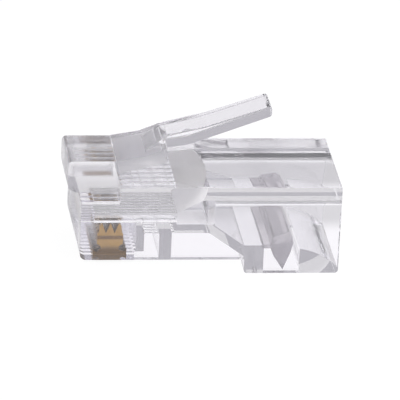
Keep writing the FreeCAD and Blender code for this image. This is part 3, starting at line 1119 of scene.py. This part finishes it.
@dataclass
class StrainRelief:
    """The strain relief bar across the window, on its thin web."""

    datum: Datum
    palette: Palette
    roots: Roots
    width: float = 9.5
    beam_height: float = 2.3
    neck: float = 17.28
    web: float = 0.34
    root_gap: float = 0.03
    front: tuple[float, float] = (17.56, 1.25)
    edge: tuple[float, float] = (18.37, 0.03)
    rear: tuple[float, float] = (19.0, 1.6)
    heel: tuple[float, float] = (19.2, 2.4)
    back: tuple[float, float] = (19.13, 3.0)
    crest: tuple[float, float] = (18.78, 3.5)
    saddle: tuple[float, float] = (17.48, 3.0)

    def build(self) -> bpy.types.Object:
        """Build the bar and put it on its body.

        Returns:
            The bar.
        """
        at = self.datum.corner
        pivot = Vector((self.datum.x(self.roots.bar_station), self.roots.bar_height))
        outline = rooted(pivot, self.roots.bar_radius - self.root_gap, [
            at(self.neck, self.beam_height - self.web),
            at(*self.front, 0.1),
            at(*self.edge, 0.02),
            at(*self.rear, 0.3),
            at(*self.heel, 0.3),
            at(*self.back, 0.2),
            at(*self.crest, 0.15),
            at(*self.saddle, 0.3),
            at(self.neck, self.beam_height),
        ])
        half = self.width / 2
        bar = dress(prism("strain_relief", outline, -half, half, Way.ACROSS), self.palette.bar)
        side = half - HAIR
        soften(bar, [Round(0.06, lambda middle, run: abs(middle.y) > side)], segments=3)
        smooth_shade(bar)
        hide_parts("strain_relief_bar")
        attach(bar, "strain_relief")
        return bar


@dataclass
class Contacts:
    """The eight gold-plated blades, which keep their own solids."""

    palette: Palette
    count: int = 8

    def build(self) -> list[bpy.types.Object]:
        """Dress the eight blades.

        Returns:
            The blades.
        """
        blades = [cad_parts[f"contact_{number}"] for number in range(1, self.count + 1)]
        for blade in blades:
            for slot in blade.material_slots:
                slot.material = self.palette.gold
        return blades


@dataclass
class Studio:
    """The pale floor, the lamps, the surroundings and the camera."""

    target: tuple[float, float, float] = (0.161, 0.0, 4.362)
    azimuth: float = -7.06
    elevation: float = 21.44
    roll: float = 2.43
    distance: float = 597.5
    lens: float = 630.8
    floor_gap: float = 0.05
    open_floor: float = 0.9
    near_floor: float = 0.87
    # Painted shadow: the floor level in the band behind the plug, and where that band starts and ends, in
    # millimetres.
    painted_shadow_floor: float = 0.56
    painted_shadow_in: tuple[float, float] = (3.6, 7.5)
    painted_shadow_out: tuple[float, float] = (17.0, 26.0)
    floor_reach: float = 3000.0
    paper: Colour = (0.12, 0.12, 0.12)
    cool_white: Colour = (0.985, 0.97, 1.0)
    white: Colour = (1.0, 1.0, 1.0)
    low_sky: Colour = (0.42, 0.41, 0.445)
    high_sky: Colour = (0.5, 0.5, 0.51)
    sky_rise: tuple[float, float] = (0.45, 0.95)

    def floor_material(self) -> bpy.types.Material:
        """Make the floor's paper, near white to the eye; where seen through the plug it carries a painted
        shadow band behind the plug.

        Returns:
            The material.
        """
        material, desk = blank_material("studio_paper")
        path = desk.add("ShaderNodeLightPath")
        place = desk.add("ShaderNodeTexCoord").outputs["Object"]
        # Painted shadow: only rays through the clear plastic and reflections see the floor darken in a band
        # behind the plug.
        behind = desk.add("ShaderNodeSeparateXYZ", Vector=place).outputs["Y"]
        painted_shadow_in = desk.rise(behind, *(edge * MM for edge in self.painted_shadow_in))
        back = desk.rise(behind, *(edge * MM for edge in self.painted_shadow_out))
        depth = desk.math("MULTIPLY", desk.math("SUBTRACT", painted_shadow_in, back), self.near_floor - self.painted_shadow_floor)
        shade = desk.math("SUBTRACT", self.near_floor, depth)
        through = desk.math("MAXIMUM", path.outputs["Is Transmission Ray"], path.outputs["Is Glossy Ray"])
        seen = desk.math("MULTIPLY", path.outputs["Is Camera Ray"], self.open_floor)
        strength = desk.math("MAXIMUM", seen, desk.math("MULTIPLY", through, shade))
        colour = desk.blend(path.outputs["Is Camera Ray"], (*self.cool_white, 1.0), (*self.white, 1.0))
        paper = desk.add("ShaderNodeBsdfDiffuse", Color=(*self.paper, 1.0))
        glow = desk.add("ShaderNodeEmission", Color=colour, Strength=strength)
        both = desk.add("ShaderNodeAddShader")
        desk.feed(both.inputs[0], paper.outputs[0])
        desk.feed(both.inputs[1], glow.outputs[0])
        desk.add("ShaderNodeOutputMaterial", Surface=both.outputs[0])
        return material

    def floor(self) -> bpy.types.Object:
        """Make the floor, a plain sheet under the plug.

        Returns:
            The floor.
        """
        maker, reach = bmesh.new(), self.floor_reach
        corners = [(-reach, -reach), (reach, -reach), (reach, reach), (-reach, reach)]
        maker.faces.new([maker.verts.new((x, y, -self.floor_gap)) for x, y in corners])
        floor = dress(new_piece("studio_floor", maker), self.floor_material())
        return floor

    def surroundings(self) -> None:
        """Light the surroundings: mid-grey, a little lighter overhead, and white to the eye."""
        world = bpy.data.worlds.new("studio")
        bpy.context.scene.world = world
        world.use_nodes = True
        tree = world.node_tree
        tree.nodes.clear()
        desk = NodeDesk(tree)
        way = desk.add("ShaderNodeTexCoord").outputs["Generated"]
        parts = desk.add("ShaderNodeSeparateXYZ", Vector=way)
        path = desk.add("ShaderNodeLightPath")
        start, end = self.sky_rise
        high = desk.add("ShaderNodeMapRange", Value=parts.outputs["Z"], From_Min=start, From_Max=end)
        shade = desk.blend(high.outputs[0], (*self.low_sky, 1.0), (*self.high_sky, 1.0))
        plain = desk.blend(path.outputs["Is Camera Ray"], shade, (*self.white, 1.0))
        back = desk.add("ShaderNodeBackground", Color=plain, Strength=1.0)
        desk.add("ShaderNodeOutputWorld", Surface=back.outputs[0])

    def lamp(self, name: str, place: Sequence[float], size: float, power: float) -> None:
        """Hang one soft square lamp that faces the plug.

        Args:
            name: Name of the lamp.
            place: Where it hangs, in millimetres.
            size: Length of its side, in millimetres.
            power: Its power, in watts.
        """
        data = bpy.data.lights.new(name, "AREA")
        data.size = size * MM
        data.energy = power
        lamp = bpy.data.objects.new(name, data)
        lamp.location = Vector(place) * MM
        aim = Vector((0.0, 0.0, 4.0)) * MM - lamp.location
        lamp.rotation_euler = aim.to_track_quat("-Z", "Y").to_euler()
        lamp.visible_camera = False
        lamp.visible_transmission = False
        lamp.visible_glossy = False
        bpy.context.scene.collection.objects.link(lamp)

    def camera(self) -> None:
        """Stand the camera."""
        data = bpy.data.cameras.new("camera")
        data.sensor_width = 36.0
        data.lens = self.lens
        data.clip_start, data.clip_end = 0.05, 20.0
        turn, rise, roll = (math.radians(value) for value in (self.azimuth, self.elevation, self.roll))
        back = Vector((math.sin(turn) * math.cos(rise), -math.cos(turn) * math.cos(rise), math.sin(rise)))
        level = Vector((math.cos(turn), math.sin(turn), 0.0))
        upright = back.cross(level)
        right = level * math.cos(roll) + upright * math.sin(roll)
        up = upright * math.cos(roll) - level * math.sin(roll)
        camera = bpy.data.objects.new("camera", data)
        place = (Vector(self.target) + back * self.distance) * MM
        camera.matrix_world = Matrix.Translation(place) @ Matrix((right, up, back)).transposed().to_4x4()
        bpy.context.scene.collection.objects.link(camera)
        bpy.context.scene.camera = camera

    def build(self) -> None:
        """Set up the whole studio."""
        self.floor()
        self.surroundings()
        self.lamp("key", (-160.0, -220.0, 260.0), 160.0, 0.9)
        self.lamp("fill", (220.0, -120.0, 180.0), 200.0, 0.5)
        self.camera()
        scene = bpy.context.scene
        scene.view_settings.view_transform = "Standard"
        scene.cycles.max_bounces = 40
        scene.cycles.transmission_bounces = 36
        scene.cycles.transparent_max_bounces = 24
        scene.cycles.glossy_bounces = 12


def main() -> None:
    """Build the studio and the plug, piece by piece."""
    logging.basicConfig(level=logging.INFO, format="%(message)s")
    low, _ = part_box("plug_body")
    datum = Datum(nose=low[0])
    palette = Palette.build()
    roots = Roots()
    Studio().build()
    pieces = [
        Housing(datum, palette, roots).build(),
        Latch(datum, palette, roots).build(),
        StrainRelief(datum, palette, roots).build(),
        *Contacts(palette).build(),
    ]
    for piece in pieces:
        LOG.info("%s: %d faces", piece.name, len(piece.data.polygons))


if __name__ == "__main__":
    main()
